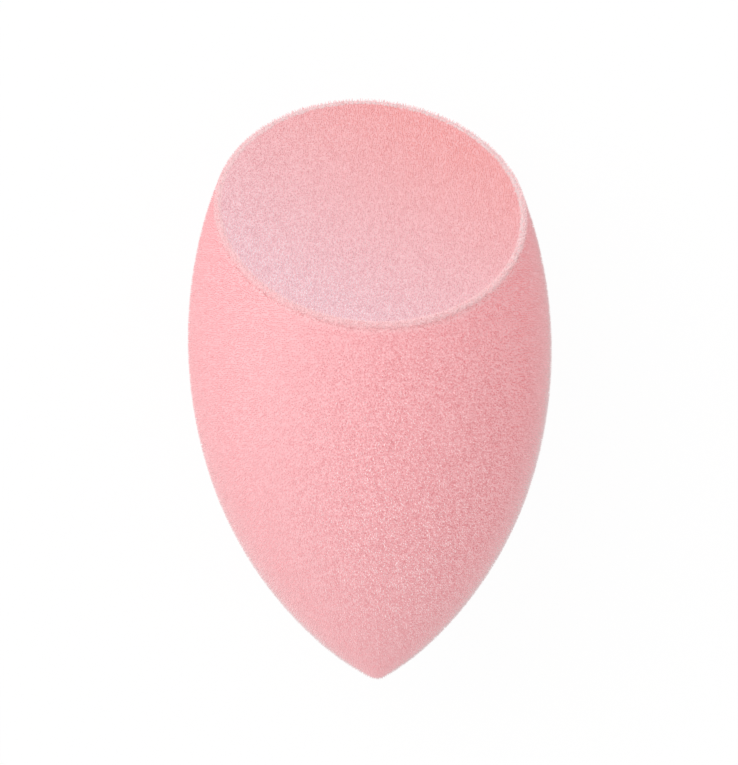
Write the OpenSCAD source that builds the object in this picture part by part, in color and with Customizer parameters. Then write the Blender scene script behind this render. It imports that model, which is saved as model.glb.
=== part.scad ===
// Flocked makeup sponge: a moulded foam teardrop with one slanted flat, coated all over in
// velvet flock. It lies on its back, point towards -Y, with the slanted flat facing up and back.
// Millimetres. The origin is under the middle of the sponge, on the surface that it lies on.

/* [Outline] */
// Radius of the rounded point
point_r = 1.8; // [1.4:0.1:2.6]
// Radius of the outline where it leaves the point
nose_r = 31; // [26:0.5:36]
// Radius of the outline along the taper
taper_r = 42; // [38:0.5:46]
// Radius of the outline round the widest place
belly_r = 48.5; // [44:0.5:53]
// Radius of the outline over the round end
crown_r = 31; // [28:0.5:36]

/* [Slanted flat] */
// Angle between the flat and a square end, in degrees
slant = 40; // [34:1:46]
// Distance from the point to where the flat crosses the centre line
flat_height = 55.8; // [53:0.2:58]

/* [Coat] */
// Height of the flock pile
pile = 0.7; // [0.5:0.05:0.9]
// Thickness of the adhesive that holds the pile
glue = 0.15; // [0.1:0.05:0.25]
// How far the pile is pressed flat where the sponge lies
pressed = 0.5; // [0.2:0.05:0.5]

/* [Hidden] */
$fn = 180;

// The outline is a chain of arcs, each all but tangent to the next. The turn is the outline's
// direction in degrees: 0 where it leaves the point sideways, 90 at the widest place, then more.
radii = [point_r, nose_r, taper_r, belly_r, crown_r];
turns = [0, 30, 44, 73, 108, 150];
arcs = len(radii);

// Where two arcs meet, the tighter one stands a hair outside and runs on past the join, so that
// the two cross at a clean corner that is too slight to see
hair = 0.002;
lap = 3;
function wider(i, j) = j >= 0 && j < arcs && radii[i] > radii[j];

// Place of the outline at the start of arc i, and the centre of arc i
function start(i) = i == 0 ? [0, 0] : centre(i - 1) + (radii[i - 1] + (wider(i, i - 1) ? -hair : hair))
    * [sin(turns[i]), -cos(turns[i])];
function centre(i) = start(i) - radii[i] * [sin(turns[i]), -cos(turns[i])];
// Heights at which arc i starts and ends, for an outline that lies inset inside the outer one
function low(i, inset) = centre(i).y - (radii[i] - inset) * cos(turns[i]) - (wider(i, i - 1) ? 0 : lap);
function high(i, inset) = centre(i).y - (radii[i] - inset) * cos(turns[i + 1]) + (wider(i, i + 1) ? 0 : lap);

// The widest place is where the belly arc runs straight up
belly = 3;
widest_r = centre(belly).x + belly_r;

// The far edge of the flat is where its line meets the crown arc, and sets the sponge's length
crown = 4;
rise = tan(slant);
edge_a = 1 + rise * rise;
edge_b = rise * (flat_height - centre(crown).y) - centre(crown).x;
edge_c = pow(centre(crown).x, 2) + pow(flat_height - centre(crown).y, 2) - pow(crown_r, 2);
edge_r = (sqrt(edge_b * edge_b - edge_a * edge_c) - edge_b) / edge_a;
length = flat_height + edge_r * rise;

// Larger than the sponge in every direction
beyond = 100;

// Right half of the outline, inset inside the outer surface
module half_outline(inset) {
    for (i = [0 : arcs - 1])
        intersection() {
            translate(centre(i)) circle(r = radii[i] - inset);
            translate([0, low(i, inset)]) square([beyond, high(i, inset) - low(i, inset)]);
        }
}

// The whole turned body, before it is sliced, lying with its point at the origin
module turned(inset) {
    rotate([-90, 0, 0]) rotate_extrude() half_outline(inset);
}

// Everything on the far side of the flat, or of a plane inset behind it
module past_flat(inset) {
    translate([0, flat_height, 0]) rotate([slant - 90, 0, 0])
        translate([-beyond / 2, -beyond / 2, -inset]) cube(beyond);
}

// The sliced teardrop, inset evenly all round
module teardrop(inset) {
    difference() {
        turned(inset);
        past_flat(inset);
    }
}

// Brings a piece from its point at the origin to its place on the resting surface
module in_place() {
    translate([0, -length / 2, widest_r - pressed]) children();
}

// Open-cell foam teardrop, the body of the sponge
module foam_core() {
    color("#f2b3b6") in_place() teardrop(pile + glue);
}

// Thin film of adhesive all over the foam
module adhesive_coat() {
    color("#f4c9c6") in_place() difference() {
        teardrop(pile);
        teardrop(pile + glue);
    }
}

// Flock on the turned side. Its edge shows as the pale line round the flat, and its underside
// is pressed flat by the surface that the sponge lies on.
module side_pile() {
    color("#f8b3b9") difference() {
        in_place() difference() {
            turned(0);
            past_flat(0);
            turned(pile);
        }
        translate([-beyond / 2, -beyond / 2, -beyond]) cube(beyond);
    }
}

// Flock on the slanted flat, inside the edge of the side's flock
module face_pile() {
    color("#f0bec3") in_place() difference() {
        intersection() {
            turned(pile);
            past_flat(pile);
        }
        past_flat(0);
    }
}

foam_core();
adhesive_coat();
side_pile();
face_pile();
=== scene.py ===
"""A flocked makeup sponge: foam teardrop, adhesive film and velvet pile, seen from straight above."""
import math

import bpy
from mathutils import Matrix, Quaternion, Vector


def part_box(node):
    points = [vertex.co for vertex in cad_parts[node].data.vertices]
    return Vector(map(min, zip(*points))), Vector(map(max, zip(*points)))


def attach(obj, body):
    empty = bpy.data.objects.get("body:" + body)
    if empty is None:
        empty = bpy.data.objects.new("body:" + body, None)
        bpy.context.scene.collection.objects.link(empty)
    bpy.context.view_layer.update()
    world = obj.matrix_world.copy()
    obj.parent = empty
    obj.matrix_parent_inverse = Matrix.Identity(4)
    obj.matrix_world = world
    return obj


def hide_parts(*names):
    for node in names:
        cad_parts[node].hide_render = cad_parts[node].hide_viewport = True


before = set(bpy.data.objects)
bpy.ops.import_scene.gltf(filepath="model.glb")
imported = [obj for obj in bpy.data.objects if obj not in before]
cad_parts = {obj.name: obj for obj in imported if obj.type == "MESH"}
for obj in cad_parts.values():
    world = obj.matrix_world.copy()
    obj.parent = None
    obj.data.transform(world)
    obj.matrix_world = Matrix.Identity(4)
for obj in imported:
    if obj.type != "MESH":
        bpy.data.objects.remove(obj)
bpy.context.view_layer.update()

# All the lengths below are in millimetres. Places are in metres, in the CAD's own frame.
MM = 0.001

# The sponge's outline, a chain of tangent arcs from the point to the round end that meet at these degrees,
# and the flat that cuts it
ARC_RADII = (1.8, 31, 42, 48.5, 31)
ARC_TURNS = (0, 30, 44, 73, 108, 150)
SLANT = math.radians(40)
FLAT_HEIGHT = 55.8
PILE = 0.7
GLUE = 0.15

# A turned piece has points this far apart along its outline and is turned in this many steps. Then points
# nearer than this are merged.
OUTLINE_STEP = 1.0
TURN_STEPS = 96
SAME_POINT = 0.01
# A cut leaves edges shorter than this, which are merged
SLIVER = 0.15
CUT_TOLERANCE = 0.001
FOAM_VOXEL = 0.8

# The pile: a matted felt below, and above it the free fibre ends, drawn as tufts that stand closer than they
# are high. Real flock fibres are 0.02 mm thick, which the picture can't show, so a tuft stands for a bundle.
FELT_DEPTH = 0.22
# The flat's felt keeps this far from the adhesive round it
CLEARANCE = 0.01
# The tufts are planted on a bed of faces this small
BED_VOXEL = 0.22
TUFT_RADIUS = 0.07
TUFT_ROOT = 0.05
TUFT_SIDES = 3
TUFT_SPACING = 0.19
# Tufts tried on each square of the spacing, enough to leave no bare spot
CROWDING = 1.6
# A tuft's way to the outer surface is no longer than this, and it takes up between these shares of it
LONGEST_TUFT = 0.7
NAP_REACH = (0.9, 1.3)
RIM_REACH = (1.1, 1.3)
# Tufts lean by chance and in clumps of this size, by these strengths from smooth nap to ruffled nap
STRAY = 0.2
LEAN_CLUMP = 0.4
SIDE_CLUMPING = (0.4, 1.8)
FACE_CLUMPING = (1.2, 1.2)
# The side's nap is stroked a little towards the point as well
SIDE_LEAN = (0, -0.2, 0)
UPRIGHT = (0, 0, 0)
# The fibres under the sponge are pressed flat where it lies
PRESSED_FELT = 0.03
PRESSED_NAP = 0.12

# The side's own coat shows this far in from the rim, as a ring round the flat's coat
RING_WIDTH = 0.45
# This near the rim the fibres fan out, so they stand closer, and their ends look blunt
RIM_WIDTH = 0.7
RIM_SPACING = 0.14
FANNED_STEPS = 8
BLUNT_END = 0.04
# In the corner they are packed into a ring. Its middle lies this deep under both the side and the flat.
RING_DEPTH = 0.55
RING_RADIUS = 0.4
RING_STEPS = 1600
RING_SIDES = 20
# The ring's surface is uneven by up to this much, in clumps of this size
RING_UNEVEN = 0.3
RING_CLUMP = 0.3

# A fibre's level on its colour ramp: the root's, and what its height, chance and its clump add to it
ROOT_LEVEL = -1.7
HEIGHT_ADDS = 1.5
CHANCE_ADDS = 1.6
CLUMP_ADDS = 1.2
# Fibres stand in clumps this wide, which differ in shade, and their roots are matted in knots this wide
SHADE_CLUMP = 0.28
FELT_KNOT = 0.2
# The coat has a painted sheen along the rim: it is pale up to the first of these distances from the rim,
# and has its own colour by the second
PALE_RIM = (0.15, 1.0)
# How pale the painted rim sheen is: on the nap from the cool to the warm end of the flat's painted sheen
# tint, and on the felt
RIM_PALENESS = (0.7, 0.9)
FELT_PALENESS = 0.7
# The painted sheen: a pale colour mixed into the nap's colour where its lie is seen edge-on, from this share
# of grazing. At full grazing it has the first strength at the upper left and the second at the lower right,
# and over 1 it is full before that.
SHEEN_START = 0.475
SHEEN = (0.35, 1.25)
SHEEN_COLOUR = "#EDE3E3"

# Where the CAD body lies: its point, its centre line a radius under its top, and the middle of its flat
side_low, side_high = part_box("side_pile")
POINT_Y = side_low.y
AXIS_Z = side_high.z - side_high.x
FLAT_NORMAL = Vector((0, math.cos(SLANT), math.sin(SLANT)))
FLAT_CENTRE = Vector((0, POINT_Y + FLAT_HEIGHT * MM, AXIS_Z))

# The painted sheen tints the flat one way and the side another. The painted shade between the fibres shows
# most at the flat's lower left and on the side's front and lower right, where the nap is most ruffled too,
# and the painted sheen at grazing is strongest at the lower right. Each change is given by the place in its
# middle
# and by its way, longer for a quicker one: 40 per metre takes 25 mm.
FACE_SHEEN_TINT = (FLAT_CENTRE - Vector((0, 4 * MM, 0)), Vector((24, 36, 0)))
SIDE_SHEEN_TINT = (Vector((2 * MM, 0, AXIS_Z)), Vector((36, 25, 0)))
FACE_RUFFLE_AND_SHADE = (Vector((14 * MM, 26 * MM, 0)), Vector((-14, -20, 0)))
SIDE_RUFFLE_AND_SHADE = (Vector((0, 0, AXIS_Z + 14.9 * MM)), Vector((28, -30, 100)))
SHEEN_CHANGE = (Vector((0, 0, AXIS_Z)), Vector((20, -22, 0)))


# Camera and light

def add_camera():
    """A long lens square to the sponge, which is turned a little on its long axis, as in the photograph."""
    pixels_high = 765
    pixel = 0.11
    frame_height = pixels_high * pixel * MM
    distance = 1.2
    yaw = math.radians(5)
    roll = math.radians(1.26)
    # The picture's centre falls just beside the long axis, half way up the sponge
    target = Vector((-0.18 * MM, POINT_Y + 32.73 * MM, AXIS_Z))
    data = bpy.data.cameras.new("camera")
    data.sensor_fit = "VERTICAL"
    data.sensor_height = 24
    data.lens = data.sensor_height * distance / frame_height
    data.clip_start = 0.01
    camera = bpy.data.objects.new("camera", data)
    bpy.context.scene.collection.objects.link(camera)
    camera.location = target + distance * Vector((-math.sin(yaw), 0, math.cos(yaw)))
    camera.rotation_mode = "QUATERNION"
    camera.rotation_quaternion = Quaternion((0, 1, 0), -yaw) @ Quaternion((0, 0, 1), -roll)
    bpy.context.scene.camera = camera


def add_lamp(name, spot, size, power):
    """A round soft box at spot, turned towards the sponge."""
    data = bpy.data.lights.new(name, "AREA")
    data.shape = "DISK"
    data.size = size
    data.energy = power
    lamp = bpy.data.objects.new(name, data)
    bpy.context.scene.collection.objects.link(lamp)
    lamp.location = spot
    lamp.rotation_mode = "QUATERNION"
    lamp.rotation_quaternion = (Vector((0, 0, AXIS_Z)) - Vector(spot)).to_track_quat("-Z", "Y")


# Materials

def linear(hex_colour):
    """An sRGB hex colour as the linear colour that shader sockets take."""
    parts = [int(hex_colour[i:i + 2], 16) / 255 for i in (1, 3, 5)]
    return tuple(c / 12.92 if c <= 0.04045 else ((c + 0.055) / 1.055) ** 2.4 for c in parts) + (1,)


def add(tree, kind, inputs=None, **settings):
    """Adds a node, sets its properties and fills its inputs with values or with other nodes' outputs. Inputs
    go by name, or by number where names repeat: a Mix node's colours are inputs 6 and 7 and output 2."""
    node = tree.nodes.new(kind)
    for key, value in settings.items():
        setattr(node, key, value)
    for key, value in (inputs or {}).items():
        if isinstance(value, bpy.types.NodeSocket):
            tree.links.new(value, node.inputs[key])
        else:
            node.inputs[key].default_value = value
    return node


def blank_material(name):
    """A material with no nodes yet, and its node tree."""
    material = bpy.data.materials.new(name)
    material.use_nodes = True
    material.node_tree.nodes.clear()
    return material, material.node_tree


def gradual(tree, place, change):
    """Rises from 0 to 1 along a way, with 0.5 at a middle place."""
    middle, way = change
    along = add(tree, "ShaderNodeVectorMath", {0: place, 1: way}, operation="DOT_PRODUCT").outputs["Value"]
    return add(tree, "ShaderNodeMapRange", {
        "Value": along, "From Min": middle.dot(way) - 0.5, "From Max": middle.dot(way) + 0.5,
    }).outputs[0]


def painted_sheen_tint(tree, place, colour, cool, warm, tint_way):
    """Paints a sheen tint on a colour: cool and pale at the start of a way, on the side of the light from
    the left, and warm at its end.
    """
    tint = add(tree, "ShaderNodeMix", {
        0: gradual(tree, place, tint_way), 6: linear(cool), 7: linear(warm),
    }, data_type="RGBA").outputs[2]
    return add(tree, "ShaderNodeMix", {0: 1.0, 6: colour, 7: tint},
               data_type="RGBA", blend_type="MULTIPLY").outputs[2]


def painted_sheen(tree, place, colour):
    """Paints velvet's sheen into a colour: it turns pale where the nap's lie is seen edge-on."""
    lie = add(tree, "ShaderNodeAttribute", attribute_name="lie").outputs["Vector"]
    grazing = add(tree, "ShaderNodeLayerWeight", {"Blend": 0.5, "Normal": lie}).outputs["Facing"]
    strength = add(tree, "ShaderNodeMapRange", {
        "Value": gradual(tree, place, SHEEN_CHANGE), "To Min": SHEEN[0], "To Max": SHEEN[1],
    }).outputs[0]
    sheen = add(tree, "ShaderNodeMapRange", {
        "Value": grazing, "From Min": SHEEN_START, "To Max": strength,
    }).outputs[0]
    return add(tree, "ShaderNodeMix", {0: sheen, 6: colour, 7: linear(SHEEN_COLOUR)},
               data_type="RGBA").outputs[2]


def flock_material(name, root, middle, tip, even, edge, cool, warm, tint_way, ruffle_and_shade):
    """Nylon microfibre flock, shot into wet adhesive by static. The light sinks between the fibres, so
    their roots look deep and saturated, and it is scattered at their ends, so these look pale and chalky.
    Its colour holds painted light as well: a painted sheen tint, cool and pale on the side of the light from
    the left and warm away from it, and one even shade where the nap lies smooth and the light falls flat on
    it."""
    material, tree = blank_material(name)
    place = add(tree, "ShaderNodeTexCoord").outputs["Object"]
    height = add(tree, "ShaderNodeAttribute", attribute_name="fibre_height").outputs["Fac"]
    chance = add(tree, "ShaderNodeAttribute", attribute_name="fibre_shade").outputs["Fac"]
    from_rim = add(tree, "ShaderNodeAttribute", attribute_name="from_rim").outputs["Fac"]
    clumps = add(tree, "ShaderNodeTexNoise", {
        "Vector": place, "Scale": 1 / (SHADE_CLUMP * MM), "Detail": 2.0,
    }).outputs["Fac"]
    level = ROOT_LEVEL
    for signal, share in ((height, HEIGHT_ADDS), (chance, CHANCE_ADDS), (clumps, CLUMP_ADDS)):
        level = add(tree, "ShaderNodeMath", {0: signal, 1: share, 2: level},
                    operation="MULTIPLY_ADD").outputs[0]
    # The ramp paints that light along each fibre: deep shade at the root, paleness at the end, over the
    # tufts' own shadows
    ramp = add(tree, "ShaderNodeValToRGB", {"Fac": level})
    ramp.color_ramp.elements[0].color = linear(root)
    ramp.color_ramp.elements[1].color = linear(tip)
    ramp.color_ramp.elements.new(0.5).color = linear(middle)
    off_rim = add(tree, "ShaderNodeMapRange", {
        "Value": from_rim, "From Min": PALE_RIM[0] * MM, "From Max": PALE_RIM[1] * MM,
    }, interpolation_type="SMOOTHSTEP").outputs[0]
    # How much of the ramp's painted root shade shows: in full where the nap is ruffled and the light grazes
    # it, and less near the rim. Elsewhere the colour is one even shade: the nap lies smoother there, and the
    # even shade paints the flat light on the side's lit left and at its limbs, with no shade between the
    # fibres.
    ruffled = add(tree, "ShaderNodeMath", {0: gradual(tree, place, ruffle_and_shade), 1: off_rim},
                  operation="MULTIPLY").outputs[0]
    colour = add(tree, "ShaderNodeMix", {0: ruffled, 6: linear(even), 7: ramp.outputs["Color"]},
                 data_type="RGBA").outputs[2]
    colour = painted_sheen_tint(tree, place, colour, cool, warm, tint_way)
    colour = painted_sheen(tree, place, colour)
    # Painted sheen along the rim, where the coat turns the corner and its fibres fan out: the colour turns
    # pale
    paleness = add(tree, "ShaderNodeMapRange", {
        "Value": gradual(tree, place, FACE_SHEEN_TINT), "To Min": RIM_PALENESS[0], "To Max": RIM_PALENESS[1],
    }).outputs[0]
    paleness = add(tree, "ShaderNodeMapRange", {
        "Value": off_rim, "To Min": paleness, "To Max": 0.0,
    }).outputs[0]
    colour = add(tree, "ShaderNodeMix", {0: paleness, 6: colour, 7: linear(edge)},
                 data_type="RGBA").outputs[2]
    shader = add(tree, "ShaderNodeBsdfPrincipled", {
        "Base Color": colour,
        "Roughness": 0.9,
        "Specular IOR Level": 0.2,
        "Sheen Weight": 0.3,
        "Sheen Roughness": 0.45,
        "Sheen Tint": linear("#FFF2F4"),
    })
    add(tree, "ShaderNodeOutputMaterial", {"Surface": shader.outputs[0]})
    return material


def felt_material(name, dark, light, even, ruffle_and_shade, edge=None, tints=None):
    """Flock fibres matted at their roots, quite dull: what light comes out has been tinted between them."""
    material, tree = blank_material(name)
    place = add(tree, "ShaderNodeTexCoord").outputs["Object"]
    knots = add(tree, "ShaderNodeTexNoise", {
        "Vector": place, "Scale": 1 / (FELT_KNOT * MM), "Detail": 2.0,
    }).outputs["Fac"]
    ramp = add(tree, "ShaderNodeValToRGB", {"Fac": knots})
    ramp.color_ramp.elements[0].position = 0.3
    ramp.color_ramp.elements[0].color = linear(dark)
    ramp.color_ramp.elements[1].position = 0.7
    ramp.color_ramp.elements[1].color = linear(light)
    # The same painted shade: the knotty mat shows where the nap is ruffled, and one even shade where it lies
    # smooth and is painted as if lit flat
    colour = add(tree, "ShaderNodeMix", {
        0: gradual(tree, place, ruffle_and_shade), 6: linear(even), 7: ramp.outputs["Color"],
    }, data_type="RGBA").outputs[2]
    if tints:
        colour = painted_sheen_tint(tree, place, colour, *tints)
    if edge:
        # Painted sheen: the mat gets paler towards the rim, where it turns the corner
        height = add(tree, "ShaderNodeVectorMath", {0: place, 1: FLAT_NORMAL},
                     operation="DOT_PRODUCT").outputs["Value"]
        top = FLAT_CENTRE.dot(FLAT_NORMAL) - FELT_DEPTH * MM
        near_rim = add(tree, "ShaderNodeMapRange", {
            "Value": height, "From Min": top - PALE_RIM[1] * MM, "From Max": top - PALE_RIM[0] * MM,
            "To Max": FELT_PALENESS,
        }, interpolation_type="SMOOTHSTEP").outputs[0]
        colour = add(tree, "ShaderNodeMix", {0: near_rim, 6: colour, 7: linear(edge)},
                     data_type="RGBA").outputs[2]
    shader = add(tree, "ShaderNodeBsdfPrincipled", {
        "Base Color": colour, "Roughness": 1.0, "Specular IOR Level": 0.1,
    })
    add(tree, "ShaderNodeOutputMaterial", {"Surface": shader.outputs[0]})
    return material


def foam_material():
    """Open-cell polyurethane foam, moulded and dyed through: half-millimetre cells with thin pale walls."""
    material, tree = blank_material("open-cell polyurethane foam")
    place = add(tree, "ShaderNodeTexCoord").outputs["Object"]
    cells = add(tree, "ShaderNodeTexVoronoi", {
        "Vector": place, "Scale": 1 / (0.5 * MM),
    }).outputs["Distance"]
    ramp = add(tree, "ShaderNodeValToRGB", {"Fac": cells})
    ramp.color_ramp.elements[0].color = linear("#D9787F")
    ramp.color_ramp.elements[1].color = linear("#F2A9AE")
    bump = add(tree, "ShaderNodeBump", {"Height": cells, "Strength": 0.6, "Distance": 0.1 * MM}).outputs[0]
    shader = add(tree, "ShaderNodeBsdfPrincipled", {
        "Base Color": ramp.outputs["Color"], "Roughness": 0.8, "Normal": bump,
    })
    add(tree, "ShaderNodeOutputMaterial", {"Surface": shader.outputs[0]})
    return material


def adhesive_material():
    """Water-based acrylic flocking adhesive, sprayed on and cured to a thin satin skin, a little uneven
    every millimetre or two from the spray's drops."""
    material, tree = blank_material("cured acrylic adhesive")
    place = add(tree, "ShaderNodeTexCoord").outputs["Object"]
    spray = add(tree, "ShaderNodeTexNoise", {
        "Vector": place, "Scale": 1 / (1.5 * MM), "Detail": 2.0,
    }).outputs["Fac"]
    ramp = add(tree, "ShaderNodeValToRGB", {"Fac": spray})
    ramp.color_ramp.elements[0].color = linear("#E9A0A4")
    ramp.color_ramp.elements[1].color = linear("#F3BDBF")
    shader = add(tree, "ShaderNodeBsdfPrincipled", {
        "Base Color": ramp.outputs["Color"], "Roughness": 0.45,
    })
    add(tree, "ShaderNodeOutputMaterial", {"Surface": shader.outputs[0]})
    return material


def seen_by_eye(tree):
    """1 for the camera's rays, straight or by way of a gloss or a clear body, and 0 for the light's own."""
    path = add(tree, "ShaderNodeLightPath")
    seen = path.outputs["Is Camera Ray"]
    for ray in ("Is Glossy Ray", "Is Transmission Ray"):
        seen = add(tree, "ShaderNodeMath", {0: seen, 1: path.outputs[ray]},
                   operation="MAXIMUM").outputs[0]
    return seen


def floor_material():
    """A white paper sweep, overexposed as in the photograph, that still holds the sponge's soft shadow."""
    material, tree = blank_material("white paper sweep")
    overexposed = 0.96
    share = add(tree, "ShaderNodeMath", {0: seen_by_eye(tree), 1: overexposed},
                operation="MULTIPLY").outputs[0]
    paper = add(tree, "ShaderNodeBsdfDiffuse", {"Color": (0.95, 0.95, 0.95, 1)}).outputs[0]
    glow = add(tree, "ShaderNodeEmission", {"Color": (1, 1, 1, 1), "Strength": 1.0}).outputs[0]
    mix = add(tree, "ShaderNodeMixShader", {0: share, 1: paper, 2: glow})
    add(tree, "ShaderNodeOutputMaterial", {"Surface": mix.outputs[0]})
    return material


def set_world(strength):
    """White to the eye, and a soft fill light of this strength on the sponge."""
    world = bpy.data.worlds.new("studio")
    bpy.context.scene.world = world
    world.use_nodes = True
    tree = world.node_tree
    tree.nodes.clear()
    level = add(tree, "ShaderNodeMapRange", {
        "Value": seen_by_eye(tree), "To Min": strength, "To Max": 1.0,
    }).outputs[0]
    background = add(tree, "ShaderNodeBackground", {"Color": (1, 1, 1, 1), "Strength": level})
    add(tree, "ShaderNodeOutputWorld", {"Surface": background.outputs[0]})


# The outline

def arc_centre(i):
    """Radius and height of an arc's centre."""
    x, y = arc_start(i)
    turn = math.radians(ARC_TURNS[i])
    return x - ARC_RADII[i] * math.sin(turn), y + ARC_RADII[i] * math.cos(turn)


def arc_start(i):
    """Radius and height of an arc's start, where the one before it ends."""
    if i == 0:
        return 0.0, 0.0
    x, y = arc_centre(i - 1)
    turn = math.radians(ARC_TURNS[i])
    return x + ARC_RADII[i - 1] * math.sin(turn), y - ARC_RADII[i - 1] * math.cos(turn)


def outline(inset):
    """Radius and height of the outline's points, inset inside the outer surface."""
    points = [(0.0, inset)]
    for i, radius in enumerate(ARC_RADII):
        x, y = arc_centre(i)
        r = radius - inset
        first, last = (math.radians(t) for t in ARC_TURNS[i:i + 2])
        count = max(5, math.ceil(r * (last - first) / OUTLINE_STEP))
        for k in range(1, count + 1):
            turn = first + (last - first) * k / count
            points.append((x + r * math.sin(turn), y - r * math.cos(turn)))
    return points


def radius_at(height):
    """The outer surface's radius at a height over the point."""
    for i, radius in enumerate(ARC_RADII):
        x, y = arc_centre(i)
        if height <= y - radius * math.cos(math.radians(ARC_TURNS[i + 1])):
            return x + math.sqrt(radius ** 2 - (height - y) ** 2)
    return 0.0


def wall_depth(spot):
    """How far inside the turned surface a place lies, measured square to the long axis."""
    return radius_at((spot.y - POINT_Y) / MM) - math.hypot(spot.x, spot.z - AXIS_Z) / MM


def plane_depth(spot):
    """How far under the flat's plane a place lies."""
    return (FLAT_CENTRE - spot).dot(FLAT_NORMAL) / MM


def flat_plane(depth):
    """A point of the plane that lies depth under the flat."""
    return FLAT_CENTRE - depth * MM * FLAT_NORMAL


# Modelling

def select_only(piece):
    """Makes a piece the active object and the only one selected."""
    bpy.ops.object.select_all(action="DESELECT")
    piece.select_set(True)
    bpy.context.view_layer.objects.active = piece


def apply(piece, kind, **settings):
    """Adds a modifier with these settings and applies it."""
    select_only(piece)
    modifier = piece.modifiers.new(kind.lower(), kind)
    for key, value in settings.items():
        setattr(modifier, key, value)
    bpy.ops.object.modifier_apply(modifier=modifier.name)


def copy_of(piece, name):
    """A copy of a piece, with its own mesh."""
    select_only(piece)
    bpy.ops.object.duplicate()
    copy = bpy.context.active_object
    copy.name = name
    return copy


def turned(name, spots):
    """Draws an outline of radii and heights and spins it round the sponge's long axis."""
    bpy.ops.object.select_all(action="DESELECT")
    bpy.ops.mesh.primitive_plane_add(size=1 * MM)
    piece = bpy.context.active_object
    piece.name = name
    places = [Vector((0, POINT_Y + y * MM, AXIS_Z + r * MM)) for r, y in spots]
    bpy.context.tool_settings.mesh_select_mode = (True, False, False)
    bpy.ops.object.mode_set(mode="EDIT")
    bpy.ops.mesh.select_all(action="SELECT")
    bpy.ops.mesh.merge(type="CENTER")
    bpy.ops.transform.translate(value=places[0])
    for before, place in zip(places, places[1:]):
        bpy.ops.mesh.extrude_region_move(TRANSFORM_OT_translate={"value": place - before})
    bpy.ops.mesh.select_all(action="SELECT")
    bpy.ops.mesh.spin(steps=TURN_STEPS, angle=2 * math.pi, center=(0, 0, AXIS_Z), axis=(0, 1, 0))
    bpy.ops.mesh.select_all(action="SELECT")
    bpy.ops.mesh.remove_doubles(threshold=SAME_POINT * MM)
    bpy.ops.mesh.normals_make_consistent(inside=False)
    bpy.ops.object.mode_set(mode="OBJECT")
    return piece


def slice_off(piece, spot, normal, hollow=False):
    """Takes off what lies past a plane and closes the cut: right across, or from wall to wall if hollow."""
    select_only(piece)
    bpy.context.tool_settings.mesh_select_mode = (False, True, False)
    bpy.ops.object.mode_set(mode="EDIT")
    bpy.ops.mesh.select_all(action="SELECT")
    bpy.ops.mesh.bisect(plane_co=spot, plane_no=normal, use_fill=not hollow, clear_outer=True,
                        threshold=CUT_TOLERANCE * MM)
    bpy.ops.mesh.remove_doubles(threshold=SLIVER * MM)
    if hollow:
        bpy.ops.mesh.bridge_edge_loops()
    bpy.ops.mesh.select_all(action="SELECT")
    bpy.ops.mesh.delete_loose()
    bpy.ops.mesh.normals_make_consistent(inside=False)
    bpy.ops.object.mode_set(mode="OBJECT")


def press_flat(piece, height):
    """Cuts a piece level at this height over the surface that the sponge lies on."""
    slice_off(piece, Vector((0, 0, height * MM)), Vector((0, 0, -1)))


def smooth_by_angle(piece, degrees):
    """Shades a piece smooth, but for the edges that are sharper than this."""
    select_only(piece)
    bpy.ops.object.shade_smooth_by_angle(angle=math.radians(degrees))


def on_flat(face):
    """Whether a face looks the way the flat does, within 14 degrees."""
    return face.normal.dot(FLAT_NORMAL) > 0.97


def select_faces(piece, wanted):
    """Enters edit mode with the faces selected for which wanted(face) holds."""
    select_only(piece)
    bpy.context.tool_settings.mesh_select_mode = (False, False, True)
    for vertex in piece.data.vertices:
        vertex.select = False
    for edge in piece.data.edges:
        edge.select = False
    for face in piece.data.polygons:
        face.select = wanted(face)
    bpy.ops.object.mode_set(mode="EDIT")


def select_rim(piece):
    """Enters edit mode with the edges selected where the outside meets the flat."""
    side_edges = {key for face in piece.data.polygons if not on_flat(face) for key in face.edge_keys}
    flat_edges = {key for face in piece.data.polygons if on_flat(face) for key in face.edge_keys}
    select_faces(piece, lambda face: False)
    bpy.ops.object.mode_set(mode="OBJECT")
    bpy.context.tool_settings.mesh_select_mode = (False, True, False)
    for edge in piece.data.edges:
        edge.select = edge.key in side_edges and edge.key in flat_edges
    bpy.ops.object.mode_set(mode="EDIT")


def rim_of(body, name):
    """The edges of a body's rim, as an object of their own."""
    select_rim(body)
    bpy.ops.mesh.duplicate()
    bpy.ops.mesh.separate(type="SELECTED")
    bpy.ops.object.mode_set(mode="OBJECT")
    rim = next(o for o in bpy.context.selected_objects if o != body)
    rim.name = name
    return rim


def finish_piece(piece, material, slot, *nodes):
    """Gives a finished piece its material, hides the CAD nodes that it stands for and hangs it on the root
    body.
    """
    piece.data.materials.clear()
    piece.data.materials.append(material)
    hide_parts(*nodes)
    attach(piece, "root")


# Foam and adhesive

def add_foam():
    """The moulded foam teardrop with its slanted flat, its edges a little soft."""
    depth = PILE + GLUE
    core = turned("foam_teardrop", outline(depth))
    slice_off(core, flat_plane(depth), FLAT_NORMAL)
    apply(core, "REMESH", mode="VOXEL", voxel_size=FOAM_VOXEL * MM, use_smooth_shade=True)
    finish_piece(core, foam_material(), "foam", "foam_core")


def add_adhesive():
    """The cured film between foam and flock: a closed skin, so its inner wall faces inwards."""
    film = turned("adhesive_film", outline(PILE))
    slice_off(film, flat_plane(PILE), FLAT_NORMAL)
    inner = turned("inner_wall", outline(PILE + GLUE))
    slice_off(inner, flat_plane(PILE + GLUE), FLAT_NORMAL)
    select_faces(inner, lambda face: True)
    bpy.ops.mesh.flip_normals()
    bpy.ops.object.mode_set(mode="OBJECT")
    select_only(film)
    inner.select_set(True)
    bpy.ops.object.join()
    smooth_by_angle(film, 30)
    finish_piece(film, adhesive_material(), "adhesive", "adhesive_coat")


# The matted flock

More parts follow.
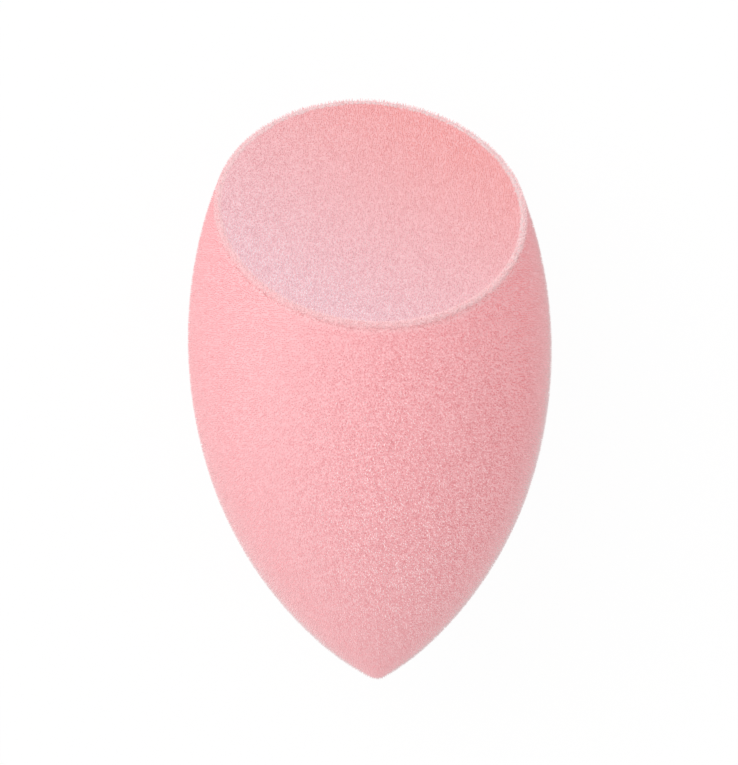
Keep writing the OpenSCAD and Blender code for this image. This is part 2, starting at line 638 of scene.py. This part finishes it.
def make_side_felt():
    """The matted flock on the turned side, open at the flat."""
    felt = turned("side_felt", outline(FELT_DEPTH) + outline(PILE)[::-1])
    slice_off(felt, flat_plane(FELT_DEPTH), FLAT_NORMAL, hollow=True)
    press_flat(felt, PRESSED_FELT)
    smooth_by_angle(felt, 25)
    return felt


def make_face_felt():
    """The matted flock on the flat, a slab that fills the side coat's opening."""
    felt = turned("face_felt", outline(PILE + CLEARANCE))
    slice_off(felt, flat_plane(FELT_DEPTH), FLAT_NORMAL)
    slice_off(felt, flat_plane(PILE), -FLAT_NORMAL)
    smooth_by_angle(felt, 30)
    return felt


def geometry_group(name):
    """A Geometry Nodes group that takes a mesh and gives one, and the mesh that goes in."""
    group = bpy.data.node_groups.new(name, "GeometryNodeTree")
    group.interface.new_socket("Geometry", in_out="INPUT", socket_type="NodeSocketGeometry")
    group.interface.new_socket("Geometry", in_out="OUTPUT", socket_type="NodeSocketGeometry")
    return group, add(group, "NodeGroupInput").outputs[0]


def make_rim_felt():
    """The flock packed into the corner between the side and the flat, a ring that follows the rim."""
    body = turned("rim_body", outline(RING_DEPTH))
    slice_off(body, flat_plane(RING_DEPTH), FLAT_NORMAL)
    ring = rim_of(body, "rim_felt")
    bpy.data.objects.remove(body)
    group, line = geometry_group("ring")
    line = add(group, "GeometryNodeMeshToCurve", {0: line}).outputs[0]
    line = add(group, "GeometryNodeResampleCurve", {"Curve": line, "Count": RING_STEPS}).outputs[0]
    profile = add(group, "GeometryNodeCurvePrimitiveCircle", {
        "Resolution": RING_SIDES, "Radius": RING_RADIUS * MM,
    }).outputs[0]
    tube = add(group, "GeometryNodeCurveToMesh", {"Curve": line, "Profile Curve": profile}).outputs[0]
    # Its fibre ends stand up unevenly
    place = add(group, "GeometryNodeInputPosition").outputs[0]
    normal = add(group, "GeometryNodeInputNormal").outputs["Normal"]
    ends = add(group, "ShaderNodeTexNoise", {
        "Vector": place, "Scale": 1 / (RING_CLUMP * MM),
    }).outputs["Fac"]
    ends = add(group, "ShaderNodeMapRange", {
        "Value": ends, "To Min": -RING_UNEVEN * MM, "To Max": RING_UNEVEN * MM,
    }).outputs[0]
    rise = add(group, "ShaderNodeVectorMath", {0: normal, "Scale": ends}, operation="SCALE").outputs[0]
    tube = add(group, "GeometryNodeSetPosition", {"Geometry": tube, "Offset": rise}).outputs[0]
    add(group, "NodeGroupOutput", {0: tube})
    apply(ring, "NODES", node_group=group)
    return ring


# The free fibre ends

def make_envelope():
    """The outer surface of the whole pile, up to which the fibre ends reach, and its rim."""
    envelope = turned("envelope", outline(0))
    slice_off(envelope, flat_plane(0), FLAT_NORMAL)
    return envelope, rim_of(envelope, "rim_line")


def lie_of_the_nap(rim):
    """A node group that keeps, for each point, its distance from the rim and the way its fibres stand. That
    is the surface's own normal, blurred, so that it turns gradually from the side to the flat."""
    group, surface = geometry_group("lie of the nap")
    rim_edge = add(group, "GeometryNodeObjectInfo", {"Object": rim}).outputs["Geometry"]
    distance = add(group, "GeometryNodeProximity", {"Geometry": rim_edge},
                   target_element="EDGES").outputs["Distance"]
    surface = add(group, "GeometryNodeStoreNamedAttribute", {
        "Geometry": surface, "Name": "from_rim", "Value": distance,
    }, data_type="FLOAT", domain="POINT").outputs[0]
    normal = add(group, "GeometryNodeInputNormal").outputs["Normal"]
    fanned = add(group, "GeometryNodeBlurAttribute", {"Value": normal, "Iterations": FANNED_STEPS},
                 data_type="FLOAT_VECTOR").outputs[0]
    surface = add(group, "GeometryNodeStoreNamedAttribute", {
        "Geometry": surface, "Name": "lie", "Value": fanned,
    }, data_type="FLOAT_VECTOR", domain="POINT").outputs[0]
    add(group, "NodeGroupOutput", {0: surface})
    return group


def make_bed(rim):
    """The felt's surface in even small faces, with its rim rounded, for the tufts to be planted on."""
    bed = turned("bed", outline(FELT_DEPTH))
    slice_off(bed, flat_plane(FELT_DEPTH), FLAT_NORMAL)
    press_flat(bed, PRESSED_FELT)
    apply(bed, "REMESH", mode="VOXEL", voxel_size=BED_VOXEL * MM, use_smooth_shade=True)
    apply(bed, "NODES", node_group=lie_of_the_nap(rim))
    return bed


def make_tuft(name, end_radius):
    """One tuft of fibre ends, a slim closed form a millimetre long, with its root just under the origin."""
    bpy.ops.object.select_all(action="DESELECT")
    bpy.ops.mesh.primitive_cone_add(vertices=TUFT_SIDES, radius1=TUFT_RADIUS * MM, radius2=end_radius * MM,
                                    depth=MM, location=(0, 0, (0.5 - TUFT_ROOT) * MM))
    tuft = bpy.context.active_object
    tuft.name = name
    bpy.ops.object.transform_apply(location=True, rotation=False, scale=False)
    height = tuft.data.attributes.new("fibre_height", "FLOAT", "POINT")
    for vertex in tuft.data.vertices:
        height.data[vertex.index].value = 1.0 if vertex.co.z > 0 else 0.0
    return tuft


def planting(tuft, envelope, spacing, reach, lean, clumping, ruffle_and_shade, seed):
    """A node group that plants tufts on a surface, up to the envelope. Each leans its own way, and with its
    neighbours, most where the nap is ruffled."""
    group, bed = geometry_group("planting")
    points = add(group, "GeometryNodeDistributePointsOnFaces", {
        "Mesh": bed, "Distance Min": spacing * MM,
        "Density Max": CROWDING / (spacing * MM) ** 2, "Seed": seed,
    }, distribute_method="POISSON")
    place = add(group, "GeometryNodeInputPosition").outputs[0]
    shade = add(group, "FunctionNodeRandomValue", {2: 0.0, 3: 1.0, "Seed": seed + 3},
                data_type="FLOAT").outputs[1]
    roots = add(group, "GeometryNodeStoreNamedAttribute", {
        "Geometry": points.outputs["Points"], "Name": "fibre_shade", "Value": shade,
    }, data_type="FLOAT", domain="POINT").outputs[0]
    # The way that a tuft stands
    lie = add(group, "GeometryNodeInputNamedAttribute", {"Name": "lie"},
              data_type="FLOAT_VECTOR").outputs[0]
    stray = add(group, "FunctionNodeRandomValue", {
        0: (-STRAY,) * 3, 1: (STRAY,) * 3, "Seed": seed + 1,
    }, data_type="FLOAT_VECTOR").outputs[0]
    clump = add(group, "ShaderNodeTexNoise", {
        "Vector": place, "Scale": 1 / (LEAN_CLUMP * MM),
    }).outputs["Color"]
    clump = add(group, "ShaderNodeVectorMath", {0: clump, 1: (0.5, 0.5, 0.5)},
                operation="SUBTRACT").outputs[0]
    stray = add(group, "ShaderNodeVectorMath", {0: stray, 1: clump}, operation="ADD").outputs[0]
    strength = add(group, "ShaderNodeMapRange", {
        "Value": gradual(group, place, ruffle_and_shade), "To Min": clumping[0], "To Max": clumping[1],
    }).outputs[0]
    way = add(group, "ShaderNodeVectorMath", {0: stray, 1: strength, 2: lie},
              operation="MULTIPLY_ADD").outputs[0]
    way = add(group, "ShaderNodeVectorMath", {0: way, 1: lean}, operation="ADD").outputs[0]
    stand = add(group, "FunctionNodeAlignRotationToVector", {"Vector": way}, axis="Z").outputs[0]
    angle = add(group, "FunctionNodeRandomValue", {2: 0.0, 3: 2 * math.pi, "Seed": seed + 4},
                data_type="FLOAT").outputs[1]
    spin = add(group, "FunctionNodeAxisAngleToRotation", {"Axis": (0, 0, 1), "Angle": angle}).outputs[0]
    stand = add(group, "FunctionNodeRotateRotation", {"Rotation": stand, "Rotate By": spin},
                rotation_space="LOCAL").outputs[0]
    # It ends near the place where its own line meets the envelope
    hull = add(group, "GeometryNodeObjectInfo", {"Object": envelope}).outputs["Geometry"]
    room = add(group, "GeometryNodeRaycast", {
        "Target Geometry": hull, "Source Position": place, "Ray Direction": way,
        "Ray Length": LONGEST_TUFT * MM,
    }).outputs["Hit Distance"]
    room = add(group, "ShaderNodeMath", {0: room, 1: 1 / MM}, operation="MULTIPLY").outputs[0]
    uneven = add(group, "FunctionNodeRandomValue", {2: reach[0], 3: reach[1], "Seed": seed + 2},
                 data_type="FLOAT").outputs[1]
    length = add(group, "ShaderNodeMath", {0: room, 1: uneven}, operation="MULTIPLY").outputs[0]
    size = add(group, "ShaderNodeCombineXYZ", {"X": 1.0, "Y": 1.0, "Z": length}).outputs[0]
    # None stands where the sponge lies
    spot = add(group, "ShaderNodeSeparateXYZ", {"Vector": place})
    free = add(group, "FunctionNodeCompare", {"A": spot.outputs["Z"], "B": PRESSED_NAP * MM},
               operation="GREATER_THAN").outputs[0]
    model = add(group, "GeometryNodeObjectInfo", {"Object": tuft})
    copies = add(group, "GeometryNodeInstanceOnPoints", {
        "Points": roots, "Selection": free, "Instance": model.outputs["Geometry"],
        "Rotation": stand, "Scale": size,
    })
    real = add(group, "GeometryNodeRealizeInstances", {"Geometry": copies.outputs[0]})
    # Nothing reaches under the surface that the sponge lies on
    lifted = add(group, "ShaderNodeMath", {0: spot.outputs["Z"], 1: 0.0}, operation="MAXIMUM").outputs[0]
    lifted = add(group, "ShaderNodeCombineXYZ", {
        "X": spot.outputs["X"], "Y": spot.outputs["Y"], "Z": lifted,
    }).outputs[0]
    real = add(group, "GeometryNodeSetPosition", {"Geometry": real.outputs[0], "Position": lifted})
    add(group, "NodeGroupOutput", {0: real.outputs[0]})
    return group


def add_nap(name, bed, wanted, group):
    """Plants the faces of the bed for which wanted(face) holds, as a piece of its own."""
    nap = copy_of(bed, name)
    select_faces(nap, lambda face: not wanted(face))
    bpy.ops.mesh.delete(type="FACE")
    bpy.ops.object.mode_set(mode="OBJECT")
    apply(nap, "NODES", node_group=group)
    return nap


def in_face_coat(face):
    return on_flat(face) and wall_depth(face.center) > RING_WIDTH


def in_rim_coat(face):
    from_rim = math.hypot(plane_depth(face.center), wall_depth(face.center))
    return not in_face_coat(face) and from_rim < RIM_WIDTH


def in_side_coat(face):
    return not in_face_coat(face) and not in_rim_coat(face)


add_camera()
add_lamp("key", spot=(-0.45, 0.27, 0.61), size=0.7, power=2.32)
set_world(strength=0.87)
bpy.context.scene.view_settings.view_transform = "Standard"

bpy.ops.mesh.primitive_plane_add(size=4, location=(0, 0, 0))
floor = bpy.context.active_object
floor.name = "floor"
floor.data.materials.append(floor_material())

add_foam()
add_adhesive()

side_felt = make_side_felt()
face_felt = make_face_felt()
envelope, rim_line = make_envelope()
rim_felt = make_rim_felt()
bed = make_bed(rim_line)
tuft = make_tuft("tuft", end_radius=0)
blunt_tuft = make_tuft("blunt_tuft", end_radius=BLUNT_END)
side_planting = planting(tuft, envelope, TUFT_SPACING, NAP_REACH, SIDE_LEAN,
                         SIDE_CLUMPING, SIDE_RUFFLE_AND_SHADE, seed=7)
rim_planting = planting(blunt_tuft, envelope, RIM_SPACING, RIM_REACH, UPRIGHT,
                        FACE_CLUMPING, FACE_RUFFLE_AND_SHADE, seed=14)
face_planting = planting(tuft, envelope, TUFT_SPACING, NAP_REACH, UPRIGHT,
                         FACE_CLUMPING, FACE_RUFFLE_AND_SHADE, seed=21)
# The side's nap is two pieces, so that neither has too many triangles
left_nap = add_nap("side_nap_left", bed, lambda face: in_side_coat(face) and face.center.x < 0,
                   side_planting)
right_nap = add_nap("side_nap_right", bed, lambda face: in_side_coat(face) and face.center.x >= 0,
                    side_planting)
rim_nap = add_nap("rim_nap", bed, in_rim_coat, rim_planting)
face_nap = add_nap("face_nap", bed, in_face_coat, face_planting)

side_flock = flock_material("side flock", root="#E29AA1", middle="#FFF0F1", tip="#FFF7F8", even="#F4BABE",
                            edge="#FCE8E9", cool="#FFFFFF", warm="#FFD6D8",
                            tint_way=SIDE_SHEEN_TINT, ruffle_and_shade=SIDE_RUFFLE_AND_SHADE)
face_flock = flock_material("face flock", root="#E8BFC6", middle="#FFF5F8", tip="#FFF5F8", even="#FBEBF0",
                            edge="#FCE8E9", cool="#F5F8FA", warm="#F3B8B0",
                            tint_way=FACE_SHEEN_TINT, ruffle_and_shade=FACE_RUFFLE_AND_SHADE)
side_mat = felt_material("matted side flock", dark="#E69A9F", light="#FCC6CA", even="#F2BCC0",
                         ruffle_and_shade=SIDE_RUFFLE_AND_SHADE, edge="#F6D0D2")
# The packed ring's pale, greyish colours paint the sheen along the rim
rim_mat = felt_material("packed rim flock", dark="#DEC4C6", light="#F0DADA", even="#F1C5C8",
                        ruffle_and_shade=FACE_SHEEN_TINT)
# The flat's mat gets the flat's painted sheen tint as well
face_mat = felt_material("matted face flock", dark="#E9B0B8", light="#F8D0D6", even="#F4CAD1",
                         ruffle_and_shade=FACE_RUFFLE_AND_SHADE, tints=("#F8FCFC", "#FCE8E3", FACE_SHEEN_TINT))
for nap in (left_nap, right_nap, rim_nap):
    finish_piece(nap, side_flock, "side_flock", "side_pile")
finish_piece(face_nap, face_flock, "face_flock", "face_pile")
finish_piece(side_felt, side_mat, "side_flock", "side_pile")
finish_piece(rim_felt, rim_mat, "side_flock", "side_pile")
finish_piece(face_felt, face_mat, "face_flock", "face_pile")
for helper in (tuft, blunt_tuft, rim_line, envelope, bed):
    bpy.data.objects.remove(helper)
